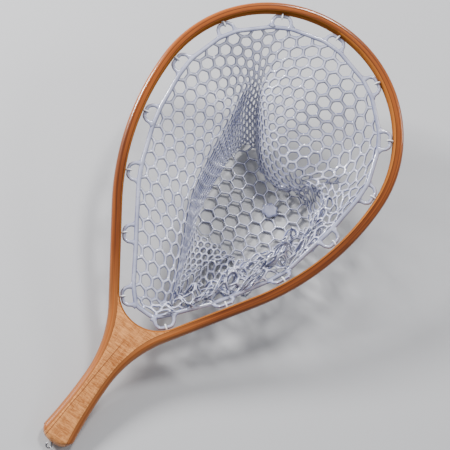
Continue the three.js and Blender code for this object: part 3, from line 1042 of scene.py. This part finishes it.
class Wall:
    """The collapsed wall: for each share of the turn, a bent line from the hem by the crest and the
    tuck to the floor, with rounded corners, and soft waves that grow where the mesh is bunched."""

    def __init__(self):
        self.hem = laid_hem()
        start = np.argmin(np.hypot(self.hem[:, 0], self.hem[:, 1] - self.hem[:, 1].max()))
        self.hem = np.roll(self.hem, -start, axis=0)
        self.hem = np.concatenate([self.hem, self.hem[:1]])

    def rim(self, share):
        """Point of the hem's line at a share of the whole turn."""
        number = np.arange(len(self.hem))
        where = np.mod(share, 1) * number[-1]
        return np.stack([np.interp(where, number, column) for column in self.hem.T], axis=-1)

    def bent(self, share, down):
        """From the rim to the crest, the tuck and the foot. It leaves the rim on a slight curve,
        or, round one place, hangs down first and turns inwards after."""
        fold = around(FOLDS, share)
        crest, tuck, foot = (on_floor(fold[..., i:i + 3]) for i in (0, 3, 6))
        first, second = fold[..., 9:10], fold[..., 10:11]
        down = down[..., None]
        hangs_at, reach = 2.3, 1.3
        hang = np.exp(-(((np.mod(share, 1) * TAB_COUNT - hangs_at) / reach) ** 4))[..., None]
        above = np.clip(down / first, 0, 1)
        straight = 1 - (1 - above) ** 1.2
        inward = straight + hang * (above**1.5 - straight)
        drop = straight + hang * (1 - (1 - above) ** 3 - straight)
        upper = np.concatenate([inward, inward, drop], axis=-1)
        middle = np.clip((down - first) / (second - first), 0, 1)
        lower = np.clip((down - second) / (1 - second), 0, 1)
        rim = self.rim(share)
        return rim + (crest - rim) * upper + (tuck - crest) * middle + (foot - tuck) * lower

    def at(self, share, down):
        """The bent line averaged over a short way down, so that its corners are round, except at
        the rim; then waves in height and sideways, stronger where the mesh is bunched."""
        spread = np.linspace(-0.045, 0.045, 7)
        points = sum(self.bent(share, np.clip(down + step, 0, 1)) for step in spread) / len(spread)
        keep = np.clip(down / 0.06, 0, 1)[..., None]
        points = self.bent(share, down) * (1 - keep) + points * keep
        turn = 2 * math.pi * share
        place = share * TAB_COUNT
        bunch = np.exp(-(((place - 5.7) / 1.9) ** 4)) + 0.6 * np.exp(-(((place - 3.1) / 1.0) ** 2))
        swell = np.sin(math.pi * np.clip(down, 0, 1)) ** 0.8
        wave = np.sin(9 * turn + 5 * down) + 0.7 * np.sin(17 * turn - 9 * down + 1)
        ripple = np.sin(29 * turn + 14 * down + 2) + 0.8 * np.sin(41 * turn - 17 * down)
        early = bunch * np.sin(math.pi * np.clip(down, 0, 1)) ** 0.4
        rise = swell * 0.0016 * wave + early * (0.0052 * wave + 0.0044 * ripple)
        shove = 0.0060 * np.sin(13 * turn + 11 * down) + 0.0036 * np.sin(23 * turn - 21 * down)
        shove = early * shove
        points = points + np.stack([0.7 * shove, -shove, rise], axis=-1)
        points[..., 2] = np.maximum(points[..., 2], 0.0016 + 0.0012 * bunch)
        return points


def cell_ring(splits):
    """Corners of a six-sided cell and points along its sides, in columns and rows about its
    middle."""
    corner = np.array([[2, 0], [1, 1], [-1, 1], [-2, 0], [-1, -1], [1, -1]]) / np.array([3, 2])
    after = np.roll(corner, -1, axis=0)
    t = np.arange(splits)[None, :, None] / splits
    return (corner[:, None] * (1 - t) + after[:, None] * t).reshape(-1, 2)


def open_mesh(place, middles, ring, half_width, half_depth, wrap=0):
    """Cells of mesh as one closed surface.

    Each cell is a ring of points on its border, and its hole is the same ring drawn in towards the
    cell's middle by a strand's half width, a little more at the corners. Between them the strand's
    section is a half oval above and below. Border points are shared by neighbouring cells. With a
    number of columns to wrap at, the mesh closes on itself and ends at row 0.
    """
    fuller, most, way_in, way_up = 1.38, 0.62, 0.62, 0.78
    steps = np.array([18, 12])
    count = len(ring)
    border = middles[:, None] + ring[None]
    if wrap:
        border[..., 1] = np.maximum(border[..., 1], 0)
    key = np.round(border * steps).astype(int)
    if wrap:
        key[..., 0] %= steps[0] * wrap
    flat = key.reshape(-1, 2)
    _, first, shared = np.unique(flat, axis=0, return_index=True, return_inverse=True)
    shared = shared.reshape(len(middles), count)
    spots = border.reshape(-1, 2)[first]
    edge = place(spots)
    step = 0.02
    across = place(spots + [step, 0]) - place(spots - [step, 0])
    down = place(spots + [0, step]) - place(spots - [0, step])
    up = np.cross(down, across)
    up /= np.maximum(np.linalg.norm(up, axis=1, keepdims=True), 1e-12)
    around_cell = edge[shared]
    centre = around_cell.mean(axis=1, keepdims=True)
    inward = centre - around_cell
    room = np.linalg.norm(inward, axis=2, keepdims=True)
    inward /= np.maximum(room, 1e-9)
    corner = np.where(np.arange(count) % (count // 6) == 0, fuller, 1.0)[None, :, None]
    draw = np.minimum(half_width * corner, room * most)
    lift = up[shared] * half_depth
    hole = around_cell + inward * draw
    over = around_cell + inward * draw * way_in + lift * way_up
    under = around_cell + inward * draw * way_in - lift * way_up
    edges = len(edge)
    points = np.concatenate([edge + up * half_depth, edge - up * half_depth,
                             over.reshape(-1, 3), hole.reshape(-1, 3), under.reshape(-1, 3)])
    own = np.arange(len(middles) * count).reshape(len(middles), count)
    inner = [2 * edges + level * own.size + own for level in range(3)]
    levels = [shared, *inner, edges + shared]
    faces = []
    for high, low in zip(levels, levels[1:]):
        quad = np.stack([high, low, np.roll(low, -1, axis=1), np.roll(high, -1, axis=1)], axis=-1)
        faces.append(quad.reshape(-1, 4))
    after = np.roll(shared, -1, axis=1)
    pairs = np.stack([shared, after], axis=-1).reshape(-1, 2)
    _, back, times = np.unique(
        np.sort(pairs, axis=1), axis=0, return_inverse=True, return_counts=True
    )
    loose = pairs[times[back.ravel()] == 1]
    faces.append(np.concatenate([loose, loose[:, ::-1] + edges], axis=1))
    # Lit share for the painted light: the strand's top and bottom take the painted lit tint, the
    # rings towards the hole more of the painted shade, and cells drawn narrow are painted lighter,
    # standing for the bright bunched mesh.
    narrow = 1 - (draw / (half_width * corner)).reshape(-1)
    shoulder = 0.32 + 0.44 * narrow
    lit_share = np.concatenate([np.ones(2 * edges), shoulder, 0.55 * narrow, shoulder])
    return points, np.concatenate(faces), lit_share


class NET_OT_wall(bpy.types.Operator):
    """Wall of the bag: columns of six-sided cells from the hem to the floor, lying in folds"""

    bl_idname = "net.wall"
    bl_label = "Bag wall"

    def execute(self, context):
        sizes = rubber()
        wall = Wall()

        def place(spots):
            return wall.at(spots[:, 0] / sizes.columns, spots[:, 1] / sizes.rows)

        column, row = np.meshgrid(np.arange(sizes.columns), np.arange(sizes.rows), indexing="ij")
        middles = np.stack([column, row + 0.5 * (column % 2 == 0)], axis=-1).reshape(-1, 2)
        points, faces, lit_share = open_mesh(
            place, middles, cell_ring(2), sizes.strand / 2, sizes.strand_depth / 2, sizes.columns
        )
        new_piece("mesh_wall", points, faces, "clear_rubber", ["bag_body"], lit_share=lit_share)
        return {"FINISHED"}


class NET_OT_floor(bpy.types.Operator):
    """Flat floor of full-size cells inside the wall's foot, and the solid moulded spot in it"""

    bl_idname = "net.floor"
    bl_label = "Bag floor"

    def execute(self, context):
        sizes = rubber()
        foot = around(FOLDS[:, 6:8], np.linspace(0, 1, 240, endpoint=False))
        pitch = sizes.floor_cell
        spot = np.array([0.0463, 0.3455])
        column, row = np.meshgrid(np.arange(-14, 15), np.arange(-14, 15), indexing="ij")
        middles = np.stack([column, row + 0.5 * (column % 2)], axis=-1).reshape(-1, 2)
        turn = math.radians(24)
        step = np.array([pitch * math.sqrt(3) / 2, pitch])
        spin = np.array([[math.cos(turn), math.sin(turn)], [-math.sin(turn), math.cos(turn)]])

        def flat(spots):
            return (spots * step) @ spin + spot

        def place(spots):
            plane = flat(spots)
            x, y = plane[:, 0], plane[:, 1]
            sway = 0.0009 * np.sin(70 * x + 40 * y) + 0.0008 * np.sin(95 * y - 60 * x + 1)
            bend = np.stack([0.0012 * np.sin(80 * y), 0.0012 * np.sin(75 * x + 1)], axis=-1)
            return on_floor(np.concatenate([plane + bend, (0.0030 + sway)[:, None]], axis=-1))

        centre = foot.mean(axis=0)
        reach = np.linalg.norm(foot - centre, axis=1) + 0.004
        bearing = np.arctan2(foot[:, 1] - centre[1], foot[:, 0] - centre[0])
        order = np.argsort(bearing)
        away = flat(middles) - centre
        heading = np.arctan2(away[:, 1], away[:, 0])
        limit = np.interp(heading, bearing[order], reach[order], period=2 * math.pi)
        inside = np.linalg.norm(away, axis=1) < limit
        solid = np.linalg.norm(flat(middles) - spot, axis=1) < pitch * 0.3
        points, faces, lit_share = open_mesh(
            place, middles[inside & ~solid], cell_ring(3), sizes.strand / 2 * 0.66,
            sizes.strand_depth / 2,
        )
        new_piece("mesh_floor", points, faces, "clear_rubber", ["bag_body"], lit_share=lit_share)
        self.spot(spot)
        return {"FINISHED"}

    def spot(self, spot):
        """A domed lens that fills one cell, with six soft lobes: radius R (1 + 0.1 cos 6t) at its
        rim."""
        sizes = rubber()
        # The spot's low lit share paints it mostly in the rubber's painted shade, so it shows as a
        # darker grey lens.
        spot_lit_share, thick, tilt = 0.2, 0.0010, 0.12
        turn = np.linspace(0, 2 * math.pi, 72, endpoint=False)
        share = np.linspace(0.02, 1, 9)
        share = share[:, None]
        lobes = 1 + 0.10 * share**2 * np.cos(6 * turn + 0.9)[None, :]
        out = sizes.disc_radius * share * lobes
        dome = thick * np.sqrt(np.clip(1 - share**8, 0, 1)) * np.ones_like(turn)[None, :]
        x, y = spot[0] + out * np.cos(turn), spot[1] + out * np.sin(turn)
        middle = 0.0034 + tilt * (x - spot[0])
        top = np.stack([x, y, middle + dome], axis=-1)
        bottom = np.stack([x, y, middle - dome], axis=-1)[:-1][::-1]
        rings = np.concatenate([top, bottom])
        faces = list(grid_faces(len(rings), len(turn), close_columns=True))
        faces.append(np.arange(len(turn))[::-1])
        faces.append(np.arange(len(turn)) + (len(rings) - 1) * len(turn))
        new_piece(
            "moulded_spot", on_floor(rings.reshape(-1, 3)), faces, "clear_rubber",
            ["bag_moulding_disc"], lit_share=np.full(len(rings) * len(turn), spot_lit_share),
        )


# Stage.


class NET_OT_stage(bpy.types.Operator):
    """Pale floor, soft studio light from the left and the camera above the handle"""

    bl_idname = "net.stage"
    bl_label = "Stage"

    def execute(self, context):
        self.floor()
        self.lights()
        self.camera()
        return {"FINISHED"}

    def floor(self):
        size = 6.0
        mesh = bpy.data.meshes.new("studio_floor")
        corners = [(-size, -size, 0), (size, -size, 0), (size, size, 0), (-size, size, 0)]
        mesh.from_pydata(corners, [], [(0, 1, 2, 3)])
        mesh.materials.append(pale_floor("studio_floor"))
        add_object("studio_floor", mesh)

    def lights(self):
        self.area("key_light", (-1.5, 0.1, 0.9), (0, 0, 0.05), 0.4, 56)
        self.area("fill_light", (1.2, 1.4, 1.2), (0, 0, 0.05), 0.5, 12)
        self.area("top_light", (-0.3, 1.5, 1.9), (0, 0, 0), 0.5, 44)
        world = bpy.data.worlds.new("studio")
        world.use_nodes = True
        sky = world.node_tree.nodes["Background"]
        sky.inputs["Color"].default_value = (0.93, 0.95, 1.0, 1)
        sky.inputs["Strength"].default_value = 0.42
        bpy.context.scene.world = world

    def area(self, name, place, target, size, power):
        """A round light of a size in metres and a power in watts, turned to a target."""
        light = bpy.data.lights.new(name, "AREA")
        light.shape = "DISK"
        light.size = size
        light.energy = power
        lamp = add_object(name, light)
        lamp.location = place
        lamp.rotation_euler = (Vector(target) - Vector(place)).to_track_quat("-Z", "Y").to_euler()

    def camera(self):
        lens, distance = 120.0, 1.553
        rise, roll = math.radians(66.0), math.radians(35.2)
        target = Vector(on_floor([0.0158, 0.2800, 0.050]))
        away = Vector((0, -math.cos(rise), math.sin(rise)))
        turn = Matrix.Rotation(math.pi / 2 - rise, 4, "X") @ Matrix.Rotation(roll, 4, "Z")
        data = bpy.data.cameras.new("camera")
        data.lens = lens
        data.sensor_width = 36.0
        data.clip_start = 0.05
        camera = add_object("camera", data)
        camera.matrix_world = Matrix.Translation(target + away * distance) @ turn
        bpy.context.scene.camera = camera


class NET_PT_panel(bpy.types.Panel):
    """Buttons for the net's pieces"""

    bl_label = "Landing net"
    bl_idname = "NET_PT_panel"
    bl_space_type = "VIEW_3D"
    bl_region_type = "UI"
    bl_category = "Landing net"

    def draw(self, context):
        for group in (context.scene.net_wood, context.scene.net_bag, context.scene.net_colours):
            box = self.layout.box()
            for name in group.__annotations__:
                box.prop(group, name)
        for operator in OPERATORS:
            self.layout.operator(operator.bl_idname)


GROUPS = (WoodSizes, BagSizes, NetColours)
OPERATORS = (
    NET_OT_stage, NET_OT_strips, NET_OT_core, NET_OT_eye, NET_OT_hem, NET_OT_tabs, NET_OT_stitches,
    NET_OT_wall, NET_OT_floor,
)


def register():
    for item in (*GROUPS, *OPERATORS, NET_PT_panel):
        bpy.utils.register_class(item)
    bpy.types.Scene.net_wood = PointerProperty(type=WoodSizes)
    bpy.types.Scene.net_bag = PointerProperty(type=BagSizes)
    bpy.types.Scene.net_colours = PointerProperty(type=NetColours)


def unregister():
    del bpy.types.Scene.net_colours
    del bpy.types.Scene.net_bag
    del bpy.types.Scene.net_wood
    for item in reversed((*GROUPS, *OPERATORS, NET_PT_panel)):
        bpy.utils.unregister_class(item)


def main():
    register()
    bpy.ops.net.stage()
    bpy.ops.net.strips()
    bpy.ops.net.core()
    bpy.ops.net.eye()
    bpy.ops.net.hem()
    bpy.ops.net.tabs()
    bpy.ops.net.stitches()
    bpy.ops.net.wall()
    bpy.ops.net.floor()


if __name__ == "__main__":
    main()
